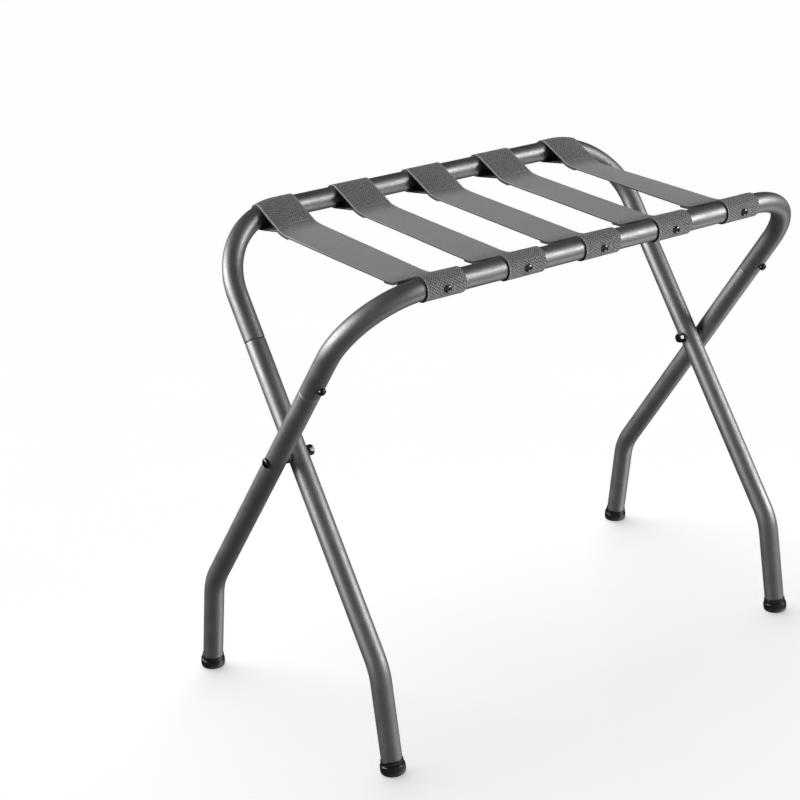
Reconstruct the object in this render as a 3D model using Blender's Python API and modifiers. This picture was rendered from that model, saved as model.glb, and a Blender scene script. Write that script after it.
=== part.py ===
"""Folding luggage rack: two bent steel tube frames that cross on a pivot bolt at each
side, five webbing straps between the top rails, and plastic feet.

X runs along the rails, Y from the front rail to the rear one, Z up. The floor is z = 0,
and the origin is on the floor under the middle of the rack.
"""

import math

import bmesh
import bpy
from mathutils import Matrix, Vector

# ---- driving dimensions, in metres -------------------------------------------------
GAP = 0.0003  # left between pieces that touch
TUBE_RADIUS = 0.0111  # 7/8 in tube
TUBE_WALL = 0.001
TUBE_SIDES_RESOLUTION = 6  # 16 sides
CORNER_RADIUS = 0.083  # bend between rail and leg, at the tube's centre
CORNER_STEPS = 14
FOOT_BEND_RADIUS = 0.065  # bend above each foot
FOOT_BEND_STEPS = 5
LEG_SPACING = 0.026  # between an outer leg and the inner leg beside it
OUTER_SPLAY = 0.0044  # how far a leg spreads from its top corner to its lower bend
INNER_SPLAY = 0.0036
OUTER_CORNER_X = 0.3015  # half the length of the outer rail, to the corner's tip
FOOT_Y = 0.153  # where a leg's centre line meets the floor

# each frame's rail and the tip of its lower bend, as (y, z)
OUTER_RAIL = (-0.1435, 0.5005)
OUTER_BEND = (0.1375, 0.1105)
INNER_RAIL = (0.1505, 0.5100)
INNER_BEND = (-0.1340, 0.1080)

SEAM_DISTANCE = 0.1325  # from a corner's tip down to where the lower leg starts
SWAGE_LENGTH = 0.038  # narrowed end of the lower leg, inside the upper tube
SWAGE_RADIUS = TUBE_RADIUS - TUBE_WALL - GAP
SHOULDER = 0.0016  # length of the cone between the narrowed end and the leg
JOINT_SCREW_ABOVE_SEAM = 0.0165
JOINT_HEAD_RADIUS = 0.0042
JOINT_HEAD_HEIGHT = 0.0045
JOINT_SHANK_RADIUS = 0.0018
JOINT_SHANK_LENGTH = 0.010
JOINT_RECESS_RADIUS = 0.0013

CAP_RADIUS = 0.0133  # two of them pass each other as the rack folds
CAP_NECK_RADIUS = 0.0120  # of the neck under the tube's end
CAP_SHOULDER_HEIGHT = 0.0102  # from the floor to the foot of the neck
CAP_HEIGHT = 0.0145  # from the floor to the end of the tube, along the tube
CAP_PLUG = 0.014

BOLT_RADIUS = 0.0029
BOLT_LENGTH = 0.0575
BOLT_HEAD_RADIUS = 0.00525
BOLT_HEAD_HEIGHT = 0.0033
BOLT_HOLE_RADIUS = BOLT_RADIUS + 0.0004
NUT_ACROSS_FLATS = 0.010
NUT_HEIGHT = 0.005
WASHER_RADIUS = 0.006
WASHER_HEIGHT = 0.001
SPACER_RADIUS = 0.00675

STRAP_COUNT = 5
STRAP_PITCH = 0.099
STRAP_SHIFT = -0.0018  # of the whole row of straps, along the rails
STRAP_SKEW = 0.020  # how far a strap drifts along the rails per length from front to rear
STRAP_WIDTH = 0.047
STRAP_THICKNESS = 0.0016
STRAP_COLUMNS = 5  # stretches across an outermost strap, where it follows a bend
STRAP_INNER_RADIUS = TUBE_RADIUS + GAP
STRAP_OUTER_RADIUS = STRAP_INNER_RADIUS + STRAP_THICKNESS
STRAP_DIP = math.radians(23)  # how steeply a slack strap leaves its rails
SAG_START = 0.042  # from the rail's centre to where it starts to level out
STRAP_SAG = 0.0071  # its middle, below the line through the rails' centres
SAG_STEPS = 6
SAG_TAIL = 0.04  # share of the fall that the levelling curve leaves out at its end
LOOP_LENGTH = 0.0385  # from the rail's centre to where the two plies meet
SEWN_END = 0.060  # from the rail's centre to the end of the doubled webbing
STRAP_SCREW_DROP = math.radians(7)  # how far below level a strap's screw points
STRAP_HEAD_RADIUS = 0.0040
STRAP_HEAD_HEIGHT = 0.0024
STRAP_SHANK_RADIUS = 0.0014
STRAP_SHANK_LENGTH = 0.008
STRAP_RECESS_RADIUS = 0.0012

ROUND_SIDES = 16  # of feet, bolts, washers and spacers
SCREW_SIDES = 10
WRAP_STEPS = 12  # of a strap round a rail


# ---- the scene ---------------------------------------------------------------------
def clear_scene():
    for thing in list(bpy.data.objects):
        bpy.data.objects.remove(thing, do_unlink=True)


def collection(name):
    made = bpy.data.collections.new(name)
    bpy.context.scene.collection.children.link(made)
    return made


def material(name, colour, metallic, roughness):
    made = bpy.data.materials.new(name)
    made.use_nodes = True
    shader = made.node_tree.nodes["Principled BSDF"]
    shader.inputs["Base Color"].default_value = (*colour, 1.0)
    shader.inputs["Metallic"].default_value = metallic
    shader.inputs["Roughness"].default_value = roughness
    return made


clear_scene()
PARTS = collection("folding_luggage_rack")
CUTTERS = collection("cutters")
STEEL = material("gunmetal_paint", (0.16, 0.16, 0.17), 0.8, 0.35)
WEBBING = material("grey_webbing", (0.20, 0.20, 0.21), 0.0, 0.85)
BLACK_PLASTIC = material("black_plastic", (0.012, 0.012, 0.012), 0.0, 0.3)
DARK_STEEL = material("dark_fastener", (0.05, 0.05, 0.055), 1.0, 0.25)


# ---- general helpers ---------------------------------------------------------------
def turning(direction):
    """The rotation that points a piece's own Z along direction."""
    return Vector(direction).to_track_quat("Z", "Y").to_matrix().to_4x4()


def place(piece, point, direction):
    piece.matrix_world = Matrix.Translation(point) @ turning(direction)


def part_object(name, mesh, finish):
    piece = bpy.data.objects.new(name, mesh)
    PARTS.objects.link(piece)
    mesh.materials.clear()
    mesh.materials.append(finish)
    return piece


def shade(mesh, sharp_degrees=40):
    mesh.shade_smooth()
    mesh.set_sharp_from_angle(angle=math.radians(sharp_degrees))


def mesh_from_curve(curve_object, finish, closed):
    """Replaces a curve object by a mesh object of the same name, with its caps welded
    and, if the mesh is closed, its faces pointing out."""
    bpy.context.view_layer.update()
    evaluated = curve_object.evaluated_get(bpy.context.evaluated_depsgraph_get())
    mesh = bpy.data.meshes.new_from_object(evaluated)
    cage = bmesh.new()
    cage.from_mesh(mesh)
    bmesh.ops.remove_doubles(cage, verts=cage.verts, dist=1e-6)
    if closed:
        bmesh.ops.recalc_face_normals(cage, faces=cage.faces)
    cage.to_mesh(mesh)
    cage.free()
    name = curve_object.name
    place_in_world = curve_object.matrix_world.copy()
    bpy.data.objects.remove(curve_object, do_unlink=True)
    piece = part_object(name, mesh, finish)
    piece.matrix_world = place_in_world
    return piece


def cylinder_cutter(name, radius, start, end, sides=12):
    """A cylinder from one point to another, for drilling."""
    start = Vector(start)
    run = Vector(end) - start
    mesh = bpy.data.meshes.new(name)
    cage = bmesh.new()
    bmesh.ops.create_cone(
        cage, cap_ends=True, segments=sides, radius1=radius, radius2=radius, depth=run.length
    )
    cage.to_mesh(mesh)
    cage.free()
    cutter = bpy.data.objects.new(name, mesh)
    CUTTERS.objects.link(cutter)
    cutter.hide_render = True
    cutter.display_type = "WIRE"
    place(cutter, start + run / 2, run)
    return cutter


def cut(piece, cutter):
    modifier = piece.modifiers.new("cut_" + cutter.name, "BOOLEAN")
    modifier.operation = "DIFFERENCE"
    modifier.object = cutter


def turned(name, profile, finish, sides=ROUND_SIDES):
    """A solid of revolution about its own Z: profile is (radius, z), top to bottom."""
    mesh = bpy.data.meshes.new(name)
    points = [(radius, 0.0, z) for radius, z in profile]
    mesh.from_pydata(points, [(i, i + 1) for i in range(len(points) - 1)], [])
    piece = part_object(name, mesh, finish)
    screw = piece.modifiers.new("turn", "SCREW")
    screw.steps = screw.render_steps = sides
    screw.use_merge_vertices = True
    screw.merge_threshold = 0.00001
    screw.use_smooth_shade = True
    return piece


def disc(name, radius, height, sides, finish, bevel=0.0):
    """A round or hexagonal plate about its own Z, from z = 0 up."""
    mesh = bpy.data.meshes.new(name)
    cage = bmesh.new()
    bmesh.ops.create_cone(
        cage,
        cap_ends=True,
        segments=sides,
        radius1=radius,
        radius2=radius,
        depth=height,
        matrix=Matrix.Translation((0, 0, height / 2)),
    )
    cage.to_mesh(mesh)
    cage.free()
    piece = part_object(name, mesh, finish)
    if bevel:
        rounding = piece.modifiers.new("rounding", "BEVEL")
        rounding.width = bevel
        rounding.segments = 2
        rounding.limit_method = "ANGLE"
        rounding.angle_limit = math.radians(80)
    return piece


def arc(centre, radius, start_degrees, end_degrees, steps):
    """Points on a circle in the plane, both ends included."""
    points = []
    for i in range(steps + 1):
        angle = math.radians(start_degrees + (end_degrees - start_degrees) * i / steps)
        points.append((centre[0] + radius * math.cos(angle), centre[1] + radius * math.sin(angle)))
    return points


def rounded_path(corners, radii, steps):
    """The corners joined by straight lines, with a bend of the given radius at each
    inner corner."""
    path = [corners[0]]
    for before, tip, after, radius, count in zip(
        corners, corners[1:], corners[2:], radii, steps
    ):
        to_before = (before - tip).normalized()
        to_after = (after - tip).normalized()
        half_angle = to_before.angle(to_after) / 2
        centre = tip + (to_before + to_after).normalized() * radius / math.sin(half_angle)
        first = tip + to_before * radius / math.tan(half_angle) - centre
        last = tip + to_after * radius / math.tan(half_angle) - centre
        sweep = first.angle(last)
        for i in range(count + 1):
            share = i / count
            weight_first = math.sin((1 - share) * sweep) / math.sin(sweep)
            weight_last = math.sin(share * sweep) / math.sin(sweep)
            path.append(centre + first * weight_first + last * weight_last)
    path.append(corners[-1])
    return path


def tube(name, path, scales, finish):
    """A steel tube with open ends along the path; scales multiplies the radius."""
    curve = bpy.data.curves.new(name, "CURVE")
    curve.dimensions = "3D"
    curve.bevel_depth = TUBE_RADIUS
    curve.bevel_resolution = TUBE_SIDES_RESOLUTION
    curve.use_fill_caps = False
    spline = curve.splines.new("POLY")
    spline.points.add(len(path) - 1)
    for point, place_on_path, scale in zip(spline.points, path, scales):
        point.co = (*place_on_path, 1.0)
        point.radius = scale
    curve_object = bpy.data.objects.new(name, curve)
    PARTS.objects.link(curve_object)
    piece = mesh_from_curve(curve_object, finish, closed=False)
    wall = piece.modifiers.new("wall", "SOLIDIFY")
    wall.thickness = TUBE_WALL
    wall.offset = -1.0
    shade(piece.data)
    return piece


# ---- the frames' geometry ----------------------------------------------------------
class Frame:
    """The centre lines of one frame: rail, two legs and their lower bends."""

    def __init__(self, rail, bend, foot_y, corner_x, splay):
        self.rail = rail
        self.bend = bend
        self.foot_y = foot_y
        self.corner_x = corner_x
        self.splay = splay
        self.bend_x = corner_x + splay

    def corner(self, side):
        return Vector((side * self.corner_x, *self.rail))

    def bend_tip(self, side):
        return Vector((side * self.bend_x, *self.bend))

    def foot(self, side):
        return Vector((side * self.bend_x, self.foot_y, 0.0))

    def down(self, side):
        return (self.bend_tip(side) - self.corner(side)).normalized()

    def foot_up(self, side):
        return (self.bend_tip(side) - self.foot(side)).normalized()

    def on_leg(self, side, distance):
        """A point of the upper leg's centre line, measured from the corner's tip."""
        return self.corner(side) + self.down(side) * distance

    def bend_start_x(self):
        """Where the rail stops being straight."""
        half_angle = (self.corner(-1) - self.corner(1)).angle(self.down(1)) / 2
        return self.corner_x - CORNER_RADIUS / math.tan(half_angle)

    def bend_drop(self, x, height=0.0):
        """How far the bend lowers a point of the rail, along the leg: height is the
        point's own distance from the rail's centre, up the leg."""
        past = abs(x) - self.bend_start_x()
        if past <= 0:
            return 0.0
        reach = CORNER_RADIUS + height
        return reach - math.sqrt(reach * reach - past * past)

    def slope(self):
        """The direction of the legs, seen along X."""
        return Vector((0.0, self.bend[0] - self.rail[0], self.bend[1] - self.rail[1])).normalized()

    def outward(self):
        """The normal of the frame's plane that points away from the other frame, down."""
        normal = self.slope().cross(Vector((1.0, 0.0, 0.0)))
        return normal if normal.z < 0 else -normal


OUTER = Frame(OUTER_RAIL, OUTER_BEND, FOOT_Y, OUTER_CORNER_X, OUTER_SPLAY)
INNER = Frame(INNER_RAIL, INNER_BEND, -FOOT_Y, OUTER_CORNER_X - LEG_SPACING, INNER_SPLAY)
FRAMES = {"outer": OUTER, "inner": INNER}
SIDES = {"left": -1, "right": 1}


def pivot_point():
    """Where the two frames' upper legs cross, seen along X, as (y, z)."""
    oy, oz = OUTER.rail
    iy, iz = INNER.rail
    ody, odz = OUTER.bend[0] - oy, OUTER.bend[1] - oz
    idy, idz = INNER.bend[0] - iy, INNER.bend[1] - iz
    share = ((iy - oy) * idz - (iz - oz) * idy) / (ody * idz - odz * idy)
    return oy + share * ody, oz + share * odz


PIVOT_Y, PIVOT_Z = pivot_point()


def leg_x_at_pivot(frame):
    share = (frame.rail[1] - PIVOT_Z) / (frame.rail[1] - frame.bend[1])
    return frame.corner_x + frame.splay * share


# ---- the steel tubes ---------------------------------------------------------------
def top_tube(label, frame):
    """Rail, both corners and both upper legs, bent from one tube."""
    corners = [
        frame.on_leg(-1, SEAM_DISTANCE - GAP / 2),
        frame.corner(-1),
        frame.corner(1),
        frame.on_leg(1, SEAM_DISTANCE - GAP / 2),
    ]
    path = rounded_path(corners, [CORNER_RADIUS] * 2, [CORNER_STEPS] * 2)
    return tube(label + "_top_tube", path, [1.0] * len(path), STEEL)


def lower_leg(label, frame, side_name):
    """Narrowed upper end, straight leg, lower bend and short foot."""
    side = SIDES[side_name]
    foot_end = frame.foot(side) + frame.foot_up(side) * CAP_HEIGHT
    start = SEAM_DISTANCE + GAP / 2
    bent = rounded_path(
        [frame.on_leg(side, start + SHOULDER), frame.bend_tip(side), foot_end],
        [FOOT_BEND_RADIUS],
        [FOOT_BEND_STEPS],
    )
    narrow = SWAGE_RADIUS / TUBE_RADIUS
    path = [frame.on_leg(side, SEAM_DISTANCE - SWAGE_LENGTH), frame.on_leg(side, start)] + bent
    scales = [narrow, narrow] + [1.0] * len(bent)
    return tube(f"{label}_leg_{side_name}", path, scales, STEEL)


# ---- small pieces ------------------------------------------------------------------
def pan_screw(name, head_radius, head_height, shank_radius, shank_length):
    """A pan head screw: the head's underside is at z = 0 and the shank runs up +Z."""
    tip = shank_radius * 1.4
    profile = [
        (0.0, shank_length),
        (shank_radius, shank_length - tip),
        (shank_radius, 0.0),
        (head_radius, 0.0),
        (head_radius, -head_height * 0.35),
        (head_radius * 0.88, -head_height * 0.75),
        (head_radius * 0.60, -head_height),
        (0.0, -head_height),
    ]
    return turned(name, profile, DARK_STEEL, SCREW_SIDES)


def drive_recess(piece, point, direction, head_height, width, sides):
    """A driver recess in the middle of a head whose underside is at the point."""
    direction = Vector(direction).normalized()
    outside = Vector(point) - direction * (head_height + 0.001)
    inside = Vector(point) - direction * head_height * 0.35
    cut(piece, cylinder_cutter(piece.name + "_recess", width, outside, inside, sides))


def foot_cap(label, frame, side_name, floor_cutter):
    """A plastic foot, cut flat at the floor: a plug in the tube, a short neck under the
    tube's end and a fat round-edged base."""
    side = SIDES[side_name]
    shelf = CAP_HEIGHT - GAP
    plug = TUBE_RADIUS - TUBE_WALL - GAP
    profile = [
        (0.0, CAP_HEIGHT + CAP_PLUG),
        (plug - 0.0008, CAP_HEIGHT + CAP_PLUG),
        (plug, CAP_HEIGHT + CAP_PLUG - 0.0012),
        (plug, shelf),
        (CAP_NECK_RADIUS - 0.0006, shelf),
        (CAP_NECK_RADIUS, shelf - 0.0006),
        (CAP_NECK_RADIUS, CAP_SHOULDER_HEIGHT),
        (CAP_RADIUS - 0.0006, CAP_SHOULDER_HEIGHT - 0.0008),
        (CAP_RADIUS, CAP_SHOULDER_HEIGHT - 0.0028),
        (CAP_RADIUS, 0.0040),
        (CAP_RADIUS - 0.0010, 0.0),
        (CAP_RADIUS - 0.0030, -0.0032),
        (0.0, -0.0032),
    ]
    cap = turned(f"{label}_foot_cap_{side_name}", profile, BLACK_PLASTIC)
    place(cap, frame.foot(side), frame.foot_up(side))
    cut(cap, floor_cutter)
    return cap


def joint_screw(label, frame, side_name, upper_tube, leg):
    """The screw that holds a lower leg in the upper tube, from the frame's underside."""
    side = SIDES[side_name]
    centre = frame.on_leg(side, SEAM_DISTANCE - JOINT_SCREW_ABOVE_SEAM)
    outward = frame.outward()
    seat = centre + outward * (TUBE_RADIUS + GAP)
    name = f"{label}_joint_screw_{side_name}"
    screw = pan_screw(name, JOINT_HEAD_RADIUS, JOINT_HEAD_HEIGHT, JOINT_SHANK_RADIUS, JOINT_SHANK_LENGTH)
    place(screw, seat, -outward)
    drive_recess(screw, seat, -outward, JOINT_HEAD_HEIGHT, JOINT_RECESS_RADIUS, 6)
    hole_radius = JOINT_SHANK_RADIUS + 0.0004
    cutter = cylinder_cutter(name + "_hole", hole_radius, centre + outward * 0.02, centre)
    cut(upper_tube, cutter)
    cut(leg, cutter)
    return screw


def pivot_hardware(side_name, legs):
    """Bolt, nut, washer and spacer of one side, and the holes they need."""
    side = SIDES[side_name]
    inward = Vector((-side, 0.0, 0.0))
    outer_x = leg_x_at_pivot(OUTER)
    inner_x = leg_x_at_pivot(INNER)
    axis_point = Vector((0.0, PIVOT_Y, PIVOT_Z))

    def at(x):
        return axis_point + Vector((side * x, 0.0, 0.0))

    head_seat = at(outer_x + TUBE_RADIUS + GAP)
    tip_round = 0.0009
    dome = arc((BOLT_HEAD_RADIUS - 0.0027, -0.0006), 0.0027, 0, -80, 5)
    profile = [
        (0.0, BOLT_LENGTH),
        (BOLT_RADIUS - tip_round, BOLT_LENGTH),
        (BOLT_RADIUS, BOLT_LENGTH - tip_round),
        (BOLT_RADIUS, 0.0),
        (BOLT_HEAD_RADIUS, 0.0),
        *dome,
        (0.0, -BOLT_HEAD_HEIGHT),
    ]
    bolt = turned("pivot_bolt_" + side_name, profile, DARK_STEEL)
    place(bolt, head_seat, inward)
    drive_recess(bolt, head_seat, inward, BOLT_HEAD_HEIGHT, 0.0023, 6)

    washer_seat = at(inner_x - TUBE_RADIUS - GAP)
    nut_seat = at(inner_x - TUBE_RADIUS - 2 * GAP - WASHER_HEIGHT)
    spacer_seat = at(outer_x - TUBE_RADIUS - GAP)
    nut_radius = NUT_ACROSS_FLATS / math.sqrt(3)
    spacer_length = outer_x - inner_x - 2 * (TUBE_RADIUS + GAP)
    stack = [
        ("pivot_nut_", nut_radius, NUT_HEIGHT, 6, DARK_STEEL, nut_seat, 0.0004),
        ("pivot_washer_", WASHER_RADIUS, WASHER_HEIGHT, ROUND_SIDES, BLACK_PLASTIC, washer_seat, 0.0),
        ("pivot_spacer_", SPACER_RADIUS, spacer_length, ROUND_SIDES, BLACK_PLASTIC, spacer_seat, 0.0004),
    ]
    hole = cylinder_cutter(
        "pivot_hole_" + side_name, BOLT_HOLE_RADIUS, at(outer_x + 0.03), at(inner_x - 0.03)
    )
    pieces = [bolt]
    for name, radius, height, sides, finish, seat, bevel in stack:
        piece = disc(name + side_name, radius, height, sides, finish, bevel)
        place(piece, seat, inward)
        cut(piece, hole)
        pieces.append(piece)
    for leg in legs:
        cut(leg, hole)
    return pieces


# ---- straps ------------------------------------------------------------------------
def slack_line():
    """The middle of the webbing's thickness in side view, from where it leaves a rail to
    where it is level: (u, v) from the rail's centre, and how steeply it falls there."""
    radius = STRAP_INNER_RADIUS + STRAP_THICKNESS / 2
    slope = math.tan(STRAP_DIP)
    straight_end = radius / math.cos(STRAP_DIP) - SAG_START * slope
    depth = straight_end + STRAP_SAG
    line = [(radius * math.sin(STRAP_DIP), radius * math.cos(STRAP_DIP), slope)]
    for i in range(SAG_STEPS + 1):
        share = i / SAG_STEPS
        u = SAG_START - depth / slope * math.log(1 - share * (1 - SAG_TAIL))
        line.append((u, straight_end - depth * share, slope * (1 - share)))
    return line


def offset(line, distance):
    """The line's points moved along their upward normals."""
    moved = []
    for u, v, fall in line:
        angle = math.atan(fall)
        moved.append((u + math.sin(angle) * distance, v + math.cos(angle) * distance))
    return moved


def strap_outline(span):
    """The strap's side view, with u from the front rail's centre to the rear one's and
    v up: the outer outline, and the hollow of each loop."""
    half_angle = math.asin(STRAP_INNER_RADIUS / LOOP_LENGTH)
    axis = half_angle - STRAP_DIP  # of the loop, from the rail's centre
    upper = 90 - math.degrees(STRAP_DIP)  # where the upper ply leaves the rail
    lower = 270 + math.degrees(half_angle + axis)  # and the lower one
    meeting = LOOP_LENGTH * math.cos(axis), LOOP_LENGTH * math.sin(axis)
    bend = STRAP_THICKNESS / math.cos(half_angle)
    fold = meeting[0] + bend * math.sin(axis), meeting[1] - bend * math.cos(axis)

    line = slack_line()
    doubled = [point for point in line[1:] if point[0] <= SEWN_END]
    single = line[len(doubled) :]
    half = offset(line[::-1], STRAP_THICKNESS / 2)
    half += arc((0, 0), STRAP_OUTER_RADIUS, upper, lower, WRAP_STEPS)[1:]
    half += [fold] + offset(doubled, -1.5 * STRAP_THICKNESS) + offset(single, -STRAP_THICKNESS / 2)
    outer = half + [(span - u, v) for u, v in reversed(half)]
    hollow = arc((0, 0), STRAP_INNER_RADIUS, upper, lower, WRAP_STEPS) + [meeting]
    far_hollow = [(span - u, v) for u, v in hollow]
    return outer, hollow, far_hollow


def follow_bends(webbing, run):
    """Lets the loops of an outermost strap lie on the rails where those start to bend,
    and tilts the stretch between them to suit."""
    cage = bmesh.new()
    cage.from_mesh(webbing.data)
    for i in range(1, STRAP_COLUMNS):
        across = STRAP_WIDTH * (i / STRAP_COLUMNS - 0.5)
        everything = cage.verts[:] + cage.edges[:] + cage.faces[:]
        bmesh.ops.bisect_plane(cage, geom=everything, plane_co=(0, 0, across), plane_no=(0, 0, 1))
    to_world = webbing.matrix_world
    to_local = to_world.inverted()
    margin = STRAP_OUTER_RADIUS
    for vertex in cage.verts:
        point = to_world @ vertex.co
        along = (vertex.co.x - margin) / (run.length - 2 * margin)
        rear_share = min(max(along, 0.0), 1.0)
        for frame, share in ((OUTER, 1.0 - rear_share), (INNER, rear_share)):
            rail = Vector((point.x, *frame.rail))
            height = -(to_world @ vertex.co - rail).dot(frame.slope())
            height = min(max(height, -margin), margin)
            point += frame.slope() * frame.bend_drop(point.x, height) * share
        vertex.co = to_local @ point
    cage.to_mesh(webbing.data)
    cage.free()


def drift(y):
    """How far a strap lies along the rails at this y from where its middle does."""
    return STRAP_SKEW * (y - (OUTER.rail[0] + INNER.rail[0]) / 2)


def strap(number):
    """One webbing strap, looped round both rails."""
    front = Vector((0.0, *OUTER.rail))
    rear = Vector((0.0, *INNER.rail))
    run = rear - front
    name = f"strap_{number}"
    curve = bpy.data.curves.new(name, "CURVE")
    curve.dimensions = "2D"
    curve.fill_mode = "BOTH"
    curve.extrude = STRAP_WIDTH / 2
    for outline in strap_outline(run.length):
        spline = curve.splines.new("POLY")
        spline.points.add(len(outline) - 1)
        for point, (u, v) in zip(spline.points, outline):
            point.co = (u, v, 0.0, 1.0)
        spline.use_cyclic_u = True
    curve_object = bpy.data.objects.new(name, curve)
    PARTS.objects.link(curve_object)
    across = (number - (STRAP_COUNT + 1) / 2) * STRAP_PITCH + STRAP_SHIFT
    along = run.normalized()
    up = Vector((1.0, 0.0, 0.0)).cross(along)
    axes = Matrix((along, up, (1.0, 0.0, 0.0))).transposed().to_4x4()
    curve_object.matrix_world = Matrix.Translation(front + Vector((across, 0, 0))) @ axes
    webbing = mesh_from_curve(curve_object, WEBBING, closed=True)
    to_world = webbing.matrix_world
    for vertex in webbing.data.vertices:
        point = to_world @ vertex.co
        vertex.co = to_world.inverted() @ (point + Vector((drift(point.y), 0.0, 0.0)))
    if abs(across) + STRAP_WIDTH / 2 > INNER.bend_start_x():
        follow_bends(webbing, run)
    return webbing, across


def strap_screw(name, frame, across, webbing, rail_tube):
    """The screw that fixes a strap's loop to its rail."""
    x = across + drift(frame.rail[0])
    centre = Vector((x, *frame.rail)) + frame.slope() * frame.bend_drop(x)
    away = math.copysign(math.cos(STRAP_SCREW_DROP), frame.outward().y)
    outward = Vector((0.0, away, -math.sin(STRAP_SCREW_DROP)))
    seat = centre + outward * (STRAP_OUTER_RADIUS + GAP)
    screw = pan_screw(name, STRAP_HEAD_RADIUS, STRAP_HEAD_HEIGHT, STRAP_SHANK_RADIUS, STRAP_SHANK_LENGTH)
    place(screw, seat, -outward)
    drive_recess(screw, seat, -outward, STRAP_HEAD_HEIGHT, STRAP_RECESS_RADIUS, 4)
    hole_radius = STRAP_SHANK_RADIUS + 0.0004
    cutter = cylinder_cutter(name + "_hole", hole_radius, centre + outward * 0.02, centre, 10)
    cut(webbing, cutter)
    cut(rail_tube, cutter)
    return screw


# ---- putting the rack together -----------------------------------------------------
def floor_block():
    """The space under the floor, which trims the feet flat."""
    bpy.ops.mesh.primitive_cube_add(size=1.0, location=(0.0, 0.0, -0.5))
    block = bpy.context.object
    block.name = "floor_block"
    for owner in block.users_collection:
        owner.objects.unlink(block)
    CUTTERS.objects.link(block)
    block.hide_render = True
    block.display_type = "WIRE"
    return block


def body_empty(name):
    empty = bpy.data.objects.new(name, None)
    PARTS.objects.link(empty)
    empty.location = (0.0, PIVOT_Y, PIVOT_Z)
    return empty


def hang(pieces, empty):
    """Parents the pieces to the empty on the pivot axis without moving them."""
    bpy.context.view_layer.update()
    for piece in pieces:
        piece.parent = empty
        piece.matrix_parent_inverse = empty.matrix_world.inverted()


def build():
    bodies = {"outer": [], "inner": []}
    top_tubes = {}
    legs = {"left": [], "right": []}
    floor = floor_block()
    for label, frame in FRAMES.items():
        top_tubes[label] = top_tube(label, frame)
        bodies[label].append(top_tubes[label])
        for side_name in SIDES:
            leg = lower_leg(label, frame, side_name)
            cap = foot_cap(label, frame, side_name, floor)
            screw = joint_screw(label, frame, side_name, top_tubes[label], leg)
            legs[side_name].append(leg)
            bodies[label] += [leg, cap, screw]
    for side_name in SIDES:
        bodies["outer"] += pivot_hardware(side_name, legs[side_name])
    for number in range(1, STRAP_COUNT + 1):
        webbing, across = strap(number)
        front = strap_screw(f"strap_screw_front_{number}", OUTER, across, webbing, top_tubes["outer"])
        rear = strap_screw(f"strap_screw_rear_{number}", INNER, across, webbing, top_tubes["inner"])
        bodies["outer"] += [webbing, front]
        bodies["inner"].append(rear)
    for label, pieces in bodies.items():
        hang(pieces, body_empty(label + "_frame_pivot"))


build()
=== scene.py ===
"""Looks of the folding luggage rack: smooth steel tubes, woven webbing straps with their
stitching, moulded feet and plated fasteners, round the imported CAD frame. Metres, +Z up."""

import math

import bmesh
import bpy
from mathutils import Matrix, Vector


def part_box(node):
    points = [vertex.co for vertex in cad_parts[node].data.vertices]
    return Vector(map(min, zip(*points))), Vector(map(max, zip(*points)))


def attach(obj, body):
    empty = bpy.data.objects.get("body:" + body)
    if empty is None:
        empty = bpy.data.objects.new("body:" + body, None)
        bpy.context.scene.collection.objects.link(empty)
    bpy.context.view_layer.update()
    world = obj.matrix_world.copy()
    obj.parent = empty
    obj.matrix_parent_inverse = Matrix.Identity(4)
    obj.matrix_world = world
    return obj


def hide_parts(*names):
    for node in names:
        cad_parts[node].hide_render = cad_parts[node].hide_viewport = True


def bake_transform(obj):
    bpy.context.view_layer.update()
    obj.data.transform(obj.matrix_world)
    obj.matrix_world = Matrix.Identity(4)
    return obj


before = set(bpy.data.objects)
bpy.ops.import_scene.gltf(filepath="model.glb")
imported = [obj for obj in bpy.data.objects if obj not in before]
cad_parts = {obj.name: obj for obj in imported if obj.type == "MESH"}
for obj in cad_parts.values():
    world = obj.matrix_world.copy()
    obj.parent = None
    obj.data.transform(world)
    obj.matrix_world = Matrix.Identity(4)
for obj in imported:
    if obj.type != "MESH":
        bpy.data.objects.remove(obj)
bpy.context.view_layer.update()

# ---- the design's dimensions, in metres ---------------------------------------------
TUBE_RADIUS = 0.0111
TUBE_WALL = 0.001
TUBE_SIDES = 48
CORNER_RADIUS = 0.083
FOOT_BEND_RADIUS = 0.065
SEAM_DISTANCE = 0.1325
SWAGE_LENGTH = 0.038
SEAM_GAP = 0.0003
CAP_RADIUS = 0.0133
CAP_NECK_RADIUS = 0.0120  # of the neck under the tube's end
CAP_SHOULDER_HEIGHT = 0.0102  # from the floor to the foot of the neck
CAP_HEIGHT = 0.0145
CAP_SIDES = 56
CAP_PLUG_LENGTH = 0.014  # of the part inside the tube
CORNER_STEPS = 28
FOOT_BEND_STEPS = 12
JOINT_SCREW_ABOVE_SEAM = 0.0165

STRAP_COUNT = 5
STRAP_WIDTH = 0.047
STRAP_THICKNESS = 0.0015
STRAP_INNER_RADIUS = TUBE_RADIUS + 0.00035
STRAP_DIP = math.radians(23)  # how steeply a slack strap leaves its rails
SAG_START = 0.042  # from a rail's centre to where it starts to level out
STRAP_SAG = 0.0071  # its middle, below the line through the rails' centres
SAG_STEPS = 20
SAG_TAIL = 0.04  # share of the fall that the levelling curve leaves out at its end
LOOP_LENGTH = 0.0385  # from a rail's centre to where the two plies meet
SEWN_END = 0.060  # from a rail's centre to the end of the doubled webbing
STRAP_SKEW = 0.020  # how far a strap drifts along the rails per length from front to rear
STRAP_SCREW_DROP = math.radians(7)  # how far below level a strap's screw points
PLY_GAP = 0.00006  # between the two plies where they are sewn
STRAP_LENGTH = 0.499  # of the webbing in one strap, for the places of its coarse ends
SELVEDGE_WIDTH = 0.0012  # the stretch beside each edge that narrows to it
STRAP_COLUMNS = 18  # of faces across the flat of the webbing
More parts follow.
